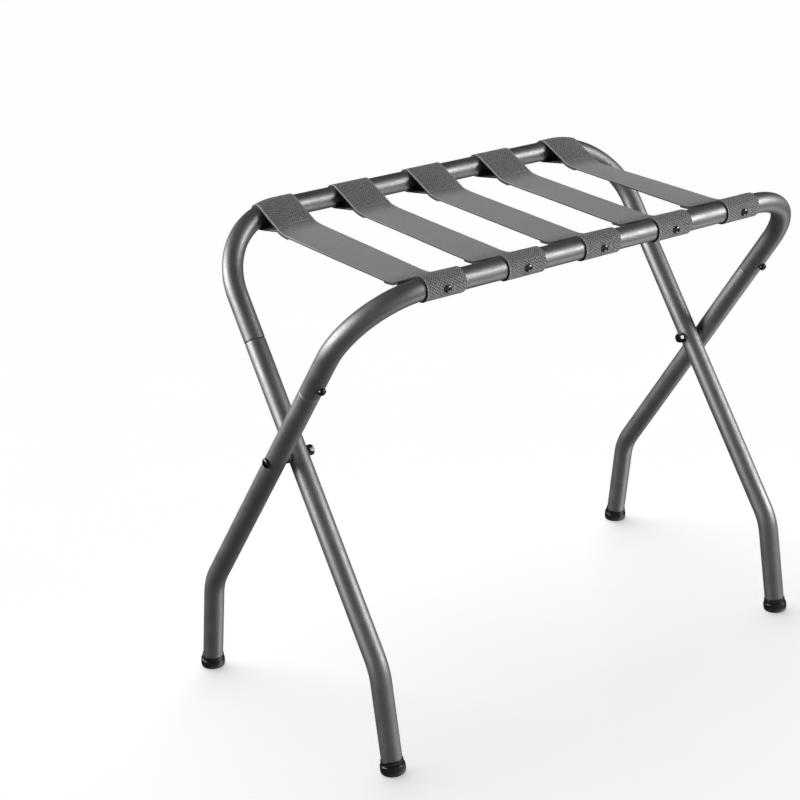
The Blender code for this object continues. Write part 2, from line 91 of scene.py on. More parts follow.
LINE_STEP = 0.0026  # the longest step of its mesh along it
BLEND_MARGIN = 0.012  # from a rail's centre to where a strap begins to leave its frame

STITCH_LENGTH = 0.0024
STITCH_PITCH = 0.0032
STITCH_RADIUS = 0.00028
STITCH_SIDES = 6
STITCH_MARGIN = 0.0035  # from each edge of the webbing to the nearest stitch, at least
STITCH_ROWS = (LOOP_LENGTH + 0.0025, SEWN_END - 0.0035)  # from the rail's centre

RIB_WIDTH = 0.0017  # of one warp rib, across the webbing
FLOAT_LENGTH = 0.0030  # of one warp float, along it
FLOAT_SHIFT = 0.382  # of a float, from one rib to the next, which makes a broken twill

STRAP_HOLE_RADIUS = 0.0018
JOINT_HOLE_RADIUS = 0.0022
PIVOT_HOLE_RADIUS = 0.0033
HOLE_LENGTH = 0.02  # of the drill, from a tube's centre outward
PIVOT_HOLE_START = 0.22  # in X, well inside the legs
PIVOT_HOLE_LENGTH = 0.12
NUT_BORE = 0.0031
NUT_RADIUS = 0.00577  # to its corners
NUT_HEIGHT = 0.005
WASHER_RADIUS = 0.006
WASHER_HEIGHT = 0.001
SPACER_RADIUS = 0.00675
FASTENER_SIDES = 48

SHARP_ANGLE = math.radians(35)
BODIES = {"outer": "outer_frame", "inner": "inner_frame"}
SIDES = {"left": -1, "right": 1}


class Frame:
    """The centre lines of one tube frame. Rail heights and feet are read off the CAD."""

    def __init__(self, label, rail_side, bend, corner_x):
        self.label = label
        self.body = BODIES[label]
        low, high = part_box(label + "_top_tube")
        edge_y = low.y if rail_side < 0 else high.y
        self.rail = (edge_y - rail_side * TUBE_RADIUS, high.z - TUBE_RADIUS)
        self.bend = bend
        self.corner_x = corner_x
        foot_low, foot_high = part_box(label + "_foot_cap_right")
        self.bend_x = (foot_low.x + foot_high.x) / 2
        self.foot_y = -rail_side * 0.153

    def corner(self, side):
        return Vector((side * self.corner_x, *self.rail))

    def bend_tip(self, side):
        return Vector((side * self.bend_x, *self.bend))

    def foot(self, side):
        return Vector((side * self.bend_x, self.foot_y, 0.0))

    def down(self, side):
        return (self.bend_tip(side) - self.corner(side)).normalized()

    def foot_up(self, side):
        return (self.bend_tip(side) - self.foot(side)).normalized()

    def on_leg(self, side, distance):
        """A point of the upper leg's centre line, measured from the corner's tip."""
        return self.corner(side) + self.down(side) * distance

    def slope(self):
        """The direction of the legs, seen along X."""
        run = Vector((0.0, self.bend[0] - self.rail[0], self.bend[1] - self.rail[1]))
        return run.normalized()

    def outward(self):
        """The normal of the frame's plane on its underside."""
        normal = self.slope().cross(Vector((1.0, 0.0, 0.0)))
        return normal if normal.z < 0 else -normal

    def screw_direction(self):
        """Which way the heads of the strap screws face."""
        away = math.copysign(math.cos(STRAP_SCREW_DROP), self.outward().y)
        return Vector((0.0, away, -math.sin(STRAP_SCREW_DROP)))

    def bend_start_x(self):
        half_angle = (self.corner(-1) - self.corner(1)).angle(self.down(1)) / 2
        return self.corner_x - CORNER_RADIUS / math.tan(half_angle)

    def bend_drop(self, x, height=0.0):
        """How far the corner's bend lowers a point of the rail, along the leg."""
        past = abs(x) - self.bend_start_x()
        if past <= 0:
            return 0.0
        reach = CORNER_RADIUS + height
        return reach - math.sqrt(reach * reach - past * past)


OUTER = Frame("outer", -1, (0.1375, 0.1105), 0.3015)
INNER = Frame("inner", 1, (-0.1340, 0.1080), 0.2755)
FRAMES = (OUTER, INNER)


# ---- mesh helpers --------------------------------------------------------------------
def new_piece(name, vertices, faces, body, finish):
    """A smooth-shaded mesh object that rides on a body and wears the finish it is given."""
    mesh = bpy.data.meshes.new(name)
    mesh.from_pydata(vertices, [], faces)
    mesh.update()
    return piece_from_mesh(name, mesh, body, finish)


def piece_from_mesh(name, mesh, body, finish):
    mesh.materials.clear()
    mesh.materials.append(finish)
    mesh.shade_smooth()
    mesh.set_sharp_from_angle(angle=SHARP_ANGLE)
    piece = bpy.data.objects.new(name, mesh)
    bpy.context.scene.collection.objects.link(piece)
    if body:
        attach(piece, body)
    return piece


def ring_faces(ring_count, sides, closed_ends=False, looped=False):
    """Quads between rings of points; looped joins the last ring to the first."""
    faces = []
    spans = ring_count if looped else ring_count - 1
    for i in range(spans):
        here = i * sides
        there = ((i + 1) % ring_count) * sides
        for j in range(sides):
            k = (j + 1) % sides
            faces.append((here + j, here + k, there + k, there + j))
    if closed_ends:
        faces.append(tuple(reversed(range(sides))))
        last = (ring_count - 1) * sides
        faces.append(tuple(range(last, last + sides)))
    return faces


def circle(radius, z, sides):
    """Points round the Z axis at one height."""
    angles = [2 * math.pi * j / sides for j in range(sides)]
    return [(radius * math.cos(a), radius * math.sin(a), z) for a in angles]


def turned_mesh(name, profile, sides):
    """A solid of revolution about Z: profile is (radius, z) from bottom to top, and its
    first and last points lie on the axis."""
    cage = bmesh.new()
    rings = []
    for radius, z in profile:
        points = circle(radius, z, sides) if radius > 0 else [(0, 0, z)]
        rings.append([cage.verts.new(point) for point in points])
    for below, above in zip(rings, rings[1:]):
        for j in range(sides):
            k = (j + 1) % sides
            corners = [below[j % len(below)], below[k % len(below)]]
            corners += [above[k % len(above)], above[j % len(above)]]
            cage.faces.new(list(dict.fromkeys(corners)))
    mesh = bpy.data.meshes.new(name)
    cage.to_mesh(mesh)
    cage.free()
    return mesh


def face_outward(mesh):
    """Turns all faces of a closed mesh outward."""
    cage = bmesh.new()
    cage.from_mesh(mesh)
    bmesh.ops.recalc_face_normals(cage, faces=cage.faces)
    cage.to_mesh(mesh)
    cage.free()


def bored_mesh(name, rings):
    """A closed mesh with a bore along Z: rings of points that go up outside and back
    down inside."""
    points = [point for ring in rings for point in ring]
    mesh = bpy.data.meshes.new(name)
    mesh.from_pydata(points, [], ring_faces(len(rings), len(rings[0]), looped=True))
    face_outward(mesh)
    return mesh


def arc(centre, radius, start_degrees, end_degrees, steps):
    points = []
    for i in range(steps + 1):
        angle = math.radians(start_degrees + (end_degrees - start_degrees) * i / steps)
        points.append((centre[0] + radius * math.cos(angle), centre[1] + radius * math.sin(angle)))
    return points


def rounded_path(corners, radii, steps):
    """Straight runs between the corners, with a bend at each inner one."""
    path = [corners[0]]
    for before, tip, after, radius in zip(corners, corners[1:], corners[2:], radii):
        to_before = (before - tip).normalized()
        to_after = (after - tip).normalized()
        half_angle = to_before.angle(to_after) / 2
        centre = tip + (to_before + to_after).normalized() * radius / math.sin(half_angle)
        first = tip + to_before * radius / math.tan(half_angle) - centre
        last = tip + to_after * radius / math.tan(half_angle) - centre
        sweep = first.angle(last)
        for i in range(steps + 1):
            share = i / steps
            weights = math.sin((1 - share) * sweep), math.sin(share * sweep)
            path.append(centre + (first * weights[0] + last * weights[1]) / math.sin(sweep))
    path.append(corners[-1])
    return path


def path_directions(path):
    """The direction of the path at each of its points."""
    runs = [(b - a).normalized() for a, b in zip(path, path[1:])]
    middle = [(a + b).normalized() for a, b in zip(runs, runs[1:])]
    return [runs[0]] + middle + [runs[-1]]


def sweep_rings(path, radii, sides):
    """A ring of points round each point of the path, without twist."""
    points = []
    directions = path_directions(path)
    across = directions[0].orthogonal().normalized()
    for centre, direction, radius in zip(path, directions, radii):
        across = (across - direction * across.dot(direction)).normalized()
        up = direction.cross(across)
        for j in range(sides):
            angle = 2 * math.pi * j / sides
            points.append(centre + (across * math.cos(angle) + up * math.sin(angle)) * radius)
    return points


def hollow_tube(name, path, radii, body, finish):
    """A tube with an open bore: the outer skin down the path and the inner one back."""
    bores = [radius - TUBE_WALL for radius in radii]
    loop_path = path + path[::-1]
    outer = sweep_rings(path, radii, TUBE_SIDES)
    inner = sweep_rings(path, bores, TUBE_SIDES)
    rows = [inner[i : i + TUBE_SIDES] for i in range(0, len(inner), TUBE_SIDES)]
    points = outer + [point for row in reversed(rows) for point in row]
    faces = ring_faces(len(loop_path), TUBE_SIDES, looped=True)
    return new_piece(name, points, faces, body, finish)


def drill(piece, holes):
    """Cuts round holes: each is (point, direction, radius, length from the point)."""
    cage = bmesh.new()
    for point, direction, radius, length in holes:
        turn = direction.to_track_quat("Z", "Y").to_matrix().to_4x4()
        place = Matrix.Translation(point + direction * length / 2) @ turn
        bmesh.ops.create_cone(
            cage, cap_ends=True, segments=24, radius1=radius, radius2=radius, depth=length,
            matrix=place,
        )
    mesh = bpy.data.meshes.new("drill")
    cage.to_mesh(mesh)
    cage.free()
    cutter = bpy.data.objects.new("drill", mesh)
    bpy.context.scene.collection.objects.link(cutter)
    modifier = piece.modifiers.new("holes", "BOOLEAN")
    modifier.operation = "DIFFERENCE"
    modifier.object = cutter
    evaluated = piece.evaluated_get(bpy.context.evaluated_depsgraph_get())
    cut_mesh = bpy.data.meshes.new_from_object(evaluated)
    piece.modifiers.clear()
    piece.data = cut_mesh
    cut_mesh.shade_smooth()
    cut_mesh.set_sharp_from_angle(angle=SHARP_ANGLE)
    bpy.data.objects.remove(cutter, do_unlink=True)
    bpy.data.meshes.remove(mesh)


def smooth_step(low, high, value):
    share = min(max((value - low) / (high - low), 0.0), 1.0)
    return share * share * (3 - 2 * share)


# ---- materials -----------------------------------------------------------------------
class Finish:
    """A procedural material, with short names for the nodes it is made of."""

    def __init__(self, name, colour, roughness, metallic=0.0, **sockets):
        self.material = bpy.data.materials.new(name)
        self.material.use_nodes = True
        self.tree = self.material.node_tree
        self.shader = self.tree.nodes["Principled BSDF"]
        self.shader.inputs["Base Color"].default_value = (*colour, 1.0)
        self.shader.inputs["Roughness"].default_value = roughness
        self.shader.inputs["Metallic"].default_value = metallic
        for socket, value in sockets.items():
            self.shader.inputs[socket.replace("_", " ")].default_value = value

    def node(self, kind, **inputs):
        made = self.tree.nodes.new(kind)
        for socket, value in inputs.items():
            self.feed(made.inputs[socket.replace("_", " ")], value)
        return made

    def feed(self, socket, value):
        if isinstance(value, bpy.types.NodeSocket):
            self.tree.links.new(value, socket)
        else:
            socket.default_value = value

    def math(self, operation, first, second=0.0, third=0.0):
        made = self.tree.nodes.new("ShaderNodeMath")
        made.operation = operation
        for socket, value in zip(made.inputs, (first, second, third)):
            self.feed(socket, value)
        return made.outputs[0]

    def noise(self, coordinates, scale, detail=2.0, roughness=0.5):
        made = self.node("ShaderNodeTexNoise", Scale=scale, Detail=detail, Roughness=roughness)
        self.feed(made.inputs["Vector"], coordinates)
        return made.outputs["Fac"]

    def scaled(self, vector, factors):
        made = self.tree.nodes.new("ShaderNodeVectorMath")
        made.operation = "MULTIPLY"
        self.feed(made.inputs[0], vector)
        self.feed(made.inputs[1], factors)
        return made.outputs[0]

    def spread(self, value, low, high, from_low=0.0, from_high=1.0):
        """The value mapped to low...high, and held there outside from_low...from_high."""
        made = self.tree.nodes.new("ShaderNodeMapRange")
        for socket, number in zip(made.inputs, (value, from_low, from_high, low, high)):
            self.feed(socket, number)
        return made.outputs[0]

    def mix(self, share, first, second):
        made = self.tree.nodes.new("ShaderNodeMix")
        made.data_type = "RGBA"
        self.feed(made.inputs[0], share)
        self.feed(made.inputs[6], first)
        self.feed(made.inputs[7], second)
        return made.outputs[2]

    def bump(self, height, distance, strength=1.0, after=None):
        made = self.node("ShaderNodeBump", Strength=strength, Distance=distance, Height=height)
        if after is not None:
            self.feed(made.inputs["Normal"], after)
        return made.outputs["Normal"]

    def set(self, socket, value):
        self.feed(self.shader.inputs[socket], value)

    def object_coordinates(self):
        return self.tree.nodes.new("ShaderNodeTexCoord").outputs["Object"]


def gunmetal_paint():
    """Satin metallic paint on steel tube: fine flake, slight orange peel, faint handling
    marks in the gloss."""
    finish = Finish(
        "gunmetal_paint", (0.28, 0.28, 0.29), 0.48, metallic=0.93,
        Coat_Weight=0.06, Coat_Roughness=0.25,
    )
    where = finish.object_coordinates()
    flake = finish.noise(where, 2600.0, 1.0)
    cloud = finish.noise(where, 14.0, 4.0)
    speckle = finish.noise(where, 850.0, 2.0, 0.6)
    tone = finish.math("ADD", finish.spread(flake, -0.2, 0.2), finish.spread(cloud, -0.1, 0.1))
    share = finish.math("ADD", finish.math("ADD", tone, finish.spread(speckle, -0.45, 0.45)), 0.5)
    finish.set("Base Color", finish.mix(share, (0.20, 0.20, 0.205, 1), (0.46, 0.46, 0.465, 1)))
    rubbed = finish.noise(where, 55.0, 6.0, 0.65)
    finish.set("Roughness", finish.spread(rubbed, 0.43, 0.55, 0.3, 0.7))
    peel = finish.bump(finish.noise(where, 420.0, 2.0), 0.00006, 0.5)
    finish.set("Normal", finish.bump(flake, 0.00002, 0.5, peel))
    return finish.material


def webbing():
    """Grey webbing: a broken twill of warp ribs in relief, coarse in the loops and pulled
    smooth between them, with yarn fuzz, painted shade in the hollows of the weave and on the
    outer edges, and a painted highlight on the selvedges that grows towards the rear, most on the
    left. The straps' UV layer holds metres across and along."""
    finish = Finish("webbing", (0.12, 0.12, 0.12), 0.8, Sheen_Weight=0.15, Sheen_Roughness=0.5)
    layer = finish.node("ShaderNodeUVMap")
    layer.uv_map = "webbing"
    split = finish.node("ShaderNodeSeparateXYZ", Vector=layer.outputs["UV"])
    across, along = split.outputs["X"], split.outputs["Y"]
    from_middle = finish.math("ABSOLUTE", finish.math("SUBTRACT", along, STRAP_LENGTH / 2))
    coarse = finish.spread(from_middle, 0.0, 1.0, 0.085, 0.115)

    rib = finish.math("DIVIDE", across, RIB_WIDTH)
    shift = finish.math("MULTIPLY", finish.math("FLOOR", rib), FLOAT_SHIFT)
    pick = finish.math("ADD", finish.math("DIVIDE", along, FLOAT_LENGTH), shift)
    round_rib = finish.math("SINE", finish.math("MULTIPLY", finish.math("FRACT", rib), math.pi))
    round_rib = finish.math("POWER", round_rib, 1.1)
    round_float = finish.math("SINE", finish.math("MULTIPLY", finish.math("FRACT", pick), math.pi))
    round_float = finish.math("POWER", round_float, 0.8)
    weave = finish.math("MULTIPLY", round_rib, round_float)

    fibre = finish.noise(finish.scaled(layer.outputs["UV"], (7000.0, 1200.0, 1.0)), 1.0, 3.0, 0.6)
    slub = finish.noise(finish.scaled(layer.outputs["UV"], (260.0, 420.0, 1.0)), 1.0, 4.0, 0.6)
    cloud = finish.noise(finish.object_coordinates(), 30.0, 5.0, 0.6)

    relief = finish.math("MULTIPLY", weave, finish.spread(coarse, 0.35, 1.35))
    # The base colour follows the weave's relief: painted shade darkens the gaps between ribs and
    # floats. Fibre, slub and cloud noise add the yarns' own uneven tone.
    tone_and_gap_shade = finish.math("ADD", relief, finish.spread(coarse, 0.42, -0.12))
    tone_and_gap_shade = finish.math("MULTIPLY", tone_and_gap_shade, finish.spread(fibre, 0.85, 1.15))
    uneven = finish.math("SUBTRACT", slub, 0.5)
    uneven = finish.math("MULTIPLY", uneven, finish.spread(coarse, 0.35, 1.5))
    tone_and_gap_shade = finish.math("ADD", tone_and_gap_shade, uneven)
    tone_and_gap_shade = finish.math("MULTIPLY", tone_and_gap_shade, finish.spread(cloud, 0.9, 1.1))
    tone_and_gap_shade = finish.math("MULTIPLY", tone_and_gap_shade, finish.spread(coarse, 1.0, 0.70))
    body = finish.mix(tone_and_gap_shade, (0.022, 0.022, 0.023, 1), (0.24, 0.24, 0.243, 1))

    half_width = STRAP_WIDTH / 2
    off_centre = finish.math("ABSOLUTE", finish.math("SUBTRACT", across, half_width))
    # Painted highlight: the pale band beside each edge stands for light catching the selvedge. It is
    # painted strongest towards the rear and on the left.
    selvedge_highlight = finish.spread(off_centre, 0.0, 1.0, half_width - 0.0018, half_width - 0.0014)
    # Painted shade: the outermost sliver of each edge is darkened, standing for the cut sides of the
    # webbing that turn away from the light.
    edge = finish.spread(off_centre, 0.0, 0.85, half_width - 0.0004, half_width - 0.0002)
    highlight_rearward = finish.spread(along, 0.2, 1.0, STRAP_LENGTH / 2, STRAP_LENGTH / 2 + 0.1)
    selvedge_highlight = finish.math("MULTIPLY", selvedge_highlight, highlight_rearward)
    highlight_leftward = finish.spread(across, 0.9, 0.35, 0.0, STRAP_WIDTH)
    selvedge_highlight = finish.math("MULTIPLY", selvedge_highlight, highlight_leftward)
    body = finish.mix(selvedge_highlight, body, (0.42, 0.42, 0.425, 1))
    finish.set("Base Color", finish.mix(edge, body, (0.02, 0.02, 0.02, 1)))
    finish.set("Roughness", finish.spread(fibre, 0.7, 0.92))
    soft = finish.bump(fibre, 0.00006, 0.6)
    finish.set("Normal", finish.bump(relief, 0.0006, 0.9, soft))
    return finish.material


def thread():
    """Sewing thread, twisted from plies."""
    finish = Finish("thread", (0.3, 0.3, 0.3), 0.6, Sheen_Weight=0.3)
    where = finish.object_coordinates()
    plies = finish.noise(where, 2500.0, 2.0)
    finish.set("Base Color", finish.mix(plies, (0.14, 0.14, 0.143, 1), (0.36, 0.36, 0.365, 1)))
    finish.set("Roughness", finish.spread(plies, 0.5, 0.75))
    finish.set("Normal", finish.bump(plies, 0.0001, 0.6))
    return finish.material


def foot_plastic():
    """Glossy black moulded plastic, scuffed dull near the floor."""
    finish = Finish("foot_plastic", (0.012, 0.012, 0.012), 0.2, Specular_IOR_Level=0.5)
    where = finish.object_coordinates()
    height = finish.node("ShaderNodeSeparateXYZ", Vector=where).outputs["Z"]
    low = finish.spread(height, 1.0, 0.0, 0.0, 0.006)
    scratches = finish.noise(where, 700.0, 6.0, 0.7)
    scuffed = finish.math("MULTIPLY", low, finish.spread(scratches, 0.0, 1.0, 0.4, 0.6))
    finish.set("Base Color", finish.mix(scuffed, (0.010, 0.010, 0.010, 1), (0.05, 0.05, 0.05, 1)))
    gloss = finish.spread(finish.noise(where, 120.0, 4.0), 0.16, 0.30)
    finish.set("Roughness", finish.math("ADD", gloss, finish.math("MULTIPLY", scuffed, 0.35)))
    finish.set("Normal", finish.bump(scratches, 0.00004, 0.4))
    return finish.material


def matt_plastic():
    """Black nylon washers and spacers, with a faint moulded grain."""
    finish = Finish("matt_plastic", (0.015, 0.015, 0.015), 0.5)
    grain = finish.noise(finish.object_coordinates(), 1600.0, 3.0)
    finish.set("Base Color", finish.mix(grain, (0.010, 0.010, 0.010, 1), (0.028, 0.028, 0.028, 1)))
    finish.set("Roughness", finish.spread(grain, 0.4, 0.62))
    finish.set("Normal", finish.bump(grain, 0.00005, 0.5))
    return finish.material


def plated_steel(name, dark, light):
    """Plated fasteners: fine turning marks and uneven plating."""
    finish = Finish(name, dark, 0.25, metallic=1.0)
    where = finish.object_coordinates()
    blotch = finish.noise(where, 500.0, 5.0, 0.65)
    finish.set("Base Color", finish.mix(blotch, (*dark, 1), (*light, 1)))
    finish.set("Roughness", finish.spread(blotch, 0.14, 0.36))
    finish.set("Normal", finish.bump(finish.noise(where, 3000.0, 2.0), 0.00002, 0.5))
    return finish.material


STEEL = gunmetal_paint()
WEBBING = webbing()
THREAD = thread()
FOOT = foot_plastic()
MATT = matt_plastic()
BLACK_NICKEL = plated_steel("black_nickel", (0.05, 0.05, 0.052), (0.13, 0.13, 0.135))
WORN_NICKEL = plated_steel("worn_nickel", (0.12, 0.12, 0.122), (0.34, 0.34, 0.345))
GREY_PLATE = plated_steel("grey_plate", (0.07, 0.07, 0.073), (0.19, 0.19, 0.195))


# ---- steel tubes ---------------------------------------------------------------------
def with_rims(path, radii):
    """Adds a small chamfered rim at both ends of a tube path."""
    rim, depth = 0.0004, 0.0005
    first = (path[1] - path[0]).normalized()
    last = (path[-2] - path[-1]).normalized()
    path = [path[0], path[0] + first * depth] + path[1:-1] + [path[-1] + last * depth, path[-1]]
    radii = [radii[0] - rim] + [radii[0]] + radii[1:-1] + [radii[-1]] + [radii[-1] - rim]
    return path, radii


def top_tube(frame_line):
    corners = [
        frame_line.on_leg(-1, SEAM_DISTANCE - SEAM_GAP / 2),
        frame_line.corner(-1),
        frame_line.corner(1),
        frame_line.on_leg(1, SEAM_DISTANCE - SEAM_GAP / 2),
    ]
    path = rounded_path(corners, [CORNER_RADIUS] * 2, CORNER_STEPS)
    path, radii = with_rims(path, [TUBE_RADIUS] * len(path))
    node = frame_line.label + "_top_tube"
    tube = hollow_tube(node + "_steel", path, radii, frame_line.body, STEEL)
    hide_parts(node)
    outward = frame_line.outward()
    holes = []
    for side in SIDES.values():
        centre = frame_line.on_leg(side, SEAM_DISTANCE - JOINT_SCREW_ABOVE_SEAM)
        holes.append((centre, outward, JOINT_HOLE_RADIUS, HOLE_LENGTH))
    for number in range(1, STRAP_COUNT + 1):
        centre = rail_centre(frame_line, strap_x(number) + drift(frame_line.rail[0]))
        holes.append((centre, frame_line.screw_direction(), STRAP_HOLE_RADIUS, HOLE_LENGTH))
    drill(tube, holes)
    return tube


def lower_leg(frame_line, side_name):
    side = SIDES[side_name]
    start = SEAM_DISTANCE + SEAM_GAP / 2
    foot_end = frame_line.foot(side) + frame_line.foot_up(side) * CAP_HEIGHT
    bent = rounded_path(
        [frame_line.on_leg(side, start + 0.0016), frame_line.bend_tip(side), foot_end],
        [FOOT_BEND_RADIUS],
        FOOT_BEND_STEPS,
    )
    swage = TUBE_RADIUS - TUBE_WALL - SEAM_GAP
    shoulder = [(0.0, 0.0), (0.0003, 0.55), (0.0009, 0.88)]  # (distance, share of the step)
    path = [frame_line.on_leg(side, SEAM_DISTANCE - SWAGE_LENGTH)]
    radii = [swage]
    for distance, share in shoulder:
        path.append(frame_line.on_leg(side, start + distance))
        radii.append(swage + (TUBE_RADIUS - swage) * share)
    path += bent
    radii += [TUBE_RADIUS] * len(bent)
    node = f"{frame_line.label}_leg_{side_name}"
    leg = hollow_tube(node + "_steel", path, radii, frame_line.body, STEEL)
    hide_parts(node)
    bolt_low, bolt_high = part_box("pivot_bolt_" + side_name)
    pivot = (bolt_low + bolt_high) / 2
    pivot.x = side * PIVOT_HOLE_START
    centre = frame_line.on_leg(side, SEAM_DISTANCE - JOINT_SCREW_ABOVE_SEAM)
    pivot_hole = (pivot, Vector((side, 0, 0)), PIVOT_HOLE_RADIUS, PIVOT_HOLE_LENGTH)
    drill(leg, [pivot_hole, (centre, frame_line.outward(), JOINT_HOLE_RADIUS, HOLE_LENGTH)])


# ---- webbing straps ------------------------------------------------------------------
def strap_x(number):
    low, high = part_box(f"strap_{number}")
    return (low.x + high.x) / 2


def drift(y):
    """How far a strap lies along the rails at this y from where its middle does."""
    return STRAP_SKEW * (y - (OUTER.rail[0] + INNER.rail[0]) / 2)


def rail_centre(frame_line, x):
    """The rail's centre at this x, lower where the rail already bends."""
    return Vector((x, *frame_line.rail)) + frame_line.slope() * frame_line.bend_drop(x)


def slack_line(lowered=0.0):
    """The middle of the upper ply in side view, from where it leaves a rail to where it
    is level: (u, v) from the rail's centre, moved down along its normals."""
    radius = STRAP_INNER_RADIUS + STRAP_THICKNESS / 2
    slope = math.tan(STRAP_DIP)
    straight_end = radius / math.cos(STRAP_DIP) - SAG_START * slope
    depth = straight_end + STRAP_SAG
    falls = [(radius * math.sin(STRAP_DIP), radius * math.cos(STRAP_DIP), slope)]
    for i in range(SAG_STEPS + 1):
        share = i / SAG_STEPS
        u = SAG_START - depth / slope * math.log(1 - share * (1 - SAG_TAIL))
        falls.append((u, straight_end - depth * share, slope * (1 - share)))
    line = []
    for u, v, fall in falls:
        angle = math.atan(fall)
        line.append((u - math.sin(angle) * lowered, v - math.cos(angle) * lowered))
    return line


def strap_line(span):
    """The webbing's middle line in side view, from one sewn end round both rails to the
    other: (u, v), with u from the front rail's centre to the rear one's."""
    radius = STRAP_INNER_RADIUS + STRAP_THICKNESS / 2
    half_angle = math.asin(STRAP_INNER_RADIUS / LOOP_LENGTH)
    upper = 90 - math.degrees(STRAP_DIP)
    lower = 270 + math.degrees(2 * half_angle - STRAP_DIP)
    lower_line = evened(slack_line(STRAP_THICKNESS + PLY_GAP), 0.0022)
    under_ply = [point for point in lower_line if LOOP_LENGTH < point[0] < SEWN_END]
    top_ply = evened(slack_line(), LINE_STEP)
    half = under_ply[::-1] + arc((0, 0), radius, lower, upper, 26) + top_ply[1:]
    return evened(half + [(span - u, v) for u, v in reversed(half)], LINE_STEP)


def evened(line, step):
    """Points added to the long straight runs of a line, so that none is over step."""
    filled = [line[0]]
    for (u0, v0), (u1, v1) in zip(line, line[1:]):
        count = max(1, math.ceil(math.hypot(u1 - u0, v1 - v0) / step))
        for i in range(1, count + 1):
            share = i / count
            filled.append((u0 + (u1 - u0) * share, v0 + (v1 - v0) * share))
    return filled


def line_length(line):
    return sum(math.dist(a, b) for a, b in zip(line, line[1:]))


def strap_section():
    """The webbing's cross-section as (across, up): flat faces, and edges that swell a
    little before they round off."""
    half_width = STRAP_WIDTH / 2
    top = []
    for i in range(STRAP_COLUMNS + 1):
        across = (STRAP_WIDTH - 2 * SELVEDGE_WIDTH) * (i / STRAP_COLUMNS - 0.5)
        top.append((across, STRAP_THICKNESS / 2))
    edge = [
        (half_width - 0.0005, STRAP_THICKNESS * 0.53),
        (half_width - 0.0001, STRAP_THICKNESS * 0.32),
        (half_width, 0.0),
    ]
    right = edge + [(across, -up) for across, up in reversed(edge[:-1])]
    left = [(-across, -up) for across, up in right]
    return top + right + [(across, -up) for across, up in reversed(top)] + left


class Strap:
    """One strap: where it lies, and how a point of its side view is placed in space."""

    def __init__(self, number):
        self.number = number
        self.x = strap_x(number)
        self.front = Vector((self.x, *OUTER.rail))
        run = Vector((self.x, *INNER.rail)) - self.front
        self.span = run.length
        self.along = run.normalized()
        self.up = Vector((1.0, 0.0, 0.0)).cross(self.along)

    def place(self, across, u, v):
        """A point of the strap, moved with the rails where those bend."""
        point = self.front + Vector((across, 0, 0)) + self.along * u + self.up * v
        point.x += drift(point.y)
        reach = STRAP_INNER_RADIUS + STRAP_THICKNESS
        rear_share = min(max((u - reach) / (self.span - 2 * reach), 0.0), 1.0)
        moved = point.copy()
        for frame_line, share in ((OUTER, 1 - rear_share), (INNER, rear_share)):
            height = -(point - Vector((point.x, *frame_line.rail))).dot(frame_line.slope())
            height = min(max(height, -reach), reach)
            moved += frame_line.slope() * frame_line.bend_drop(point.x, height) * share
        return moved

    def ripple(self, across, distance):
        """How far the webbing lies off its ideal surface: a faint uneven tension."""
        phase = self.number * 1.7
        long_wave = math.sin(distance * 41.0 + phase) * math.sin(across * 70.0 + phase)
        short_wave = math.sin(distance * 155.0 + 2 * phase) * math.sin(across * 190.0)
        return 0.00010 * long_wave + 0.00004 * short_wave


def strap_mesh(strap):
    """The closed webbing mesh, with metres across and along it in its UV layer."""
    line = strap_line(strap.span)
    total = line_length(line)
    section = strap_section()
    count = len(section)
    points, coordinates = [], []
    distance = 0.0
    for i, (u, v) in enumerate(line):
        before, after = line[max(i - 1, 0)], line[min(i + 1, len(line) - 1)]
        du, dv = after[0] - before[0], after[1] - before[1]
        size = math.hypot(du, dv)
        normal = (-dv / size, du / size)
        if i:
            distance += math.dist(line[i - 1], (u, v))
        free = smooth_step(0.02, 0.06, u) * smooth_step(0.02, 0.06, strap.span - u)
        free *= smooth_step(0.09, 0.12, distance) * smooth_step(0.09, 0.12, total - distance)
        for across, thick in section:
            lift = thick + strap.ripple(across, distance) * free
            points.append(strap.place(across, u + normal[0] * lift, v + normal[1] * lift))
            coordinates.append((across + STRAP_WIDTH / 2, distance))
    faces = ring_faces(len(line), count, closed_ends=True)
    mesh = bpy.data.meshes.new(f"strap_{strap.number}_webbing")
    mesh.from_pydata(points, [], faces)
    layer = mesh.uv_layers.new(name="webbing")
    for loop in mesh.loops:
        layer.data[loop.index].uv = coordinates[loop.vertex_index]
    face_outward(mesh)
    return mesh, total


def stitch(cage, start, end, up):
    """One stitch: a short thread that dips into the webbing at both ends."""
    run = end - start
    side = run.normalized().cross(up)
    rings = []
    for share, lift in ((0.0, -0.9), (0.12, 0.1), (0.5, 0.45), (0.88, 0.1), (1.0, -0.9)):
        centre = start + run * share + up * STITCH_RADIUS * lift
        points = [centre + side * x + up * z for x, z, _ in circle(STITCH_RADIUS, 0, STITCH_SIDES)]
        rings.append([cage.verts.new(point) for point in points])
    for here, there in zip(rings, rings[1:]):
        for j in range(STITCH_SIDES):
            k = (j + 1) % STITCH_SIDES
            cage.faces.new((here[j], here[k], there[k], there[j]))
    cage.faces.new(rings[0][::-1])
    cage.faces.new(rings[-1])


def point_at(line, u):
    """The point of a side-view line at this u, and the line's upward normal."""
    for (u0, v0), (u1, v1) in zip(line, line[1:]):
        if u0 <= u <= u1:
            share = (u - u0) / (u1 - u0)
            size = math.hypot(u1 - u0, v1 - v0)
            return v0 + (v1 - v0) * share, ((v0 - v1) / size, (u1 - u0) / size)
    raise ValueError("u is outside the line")


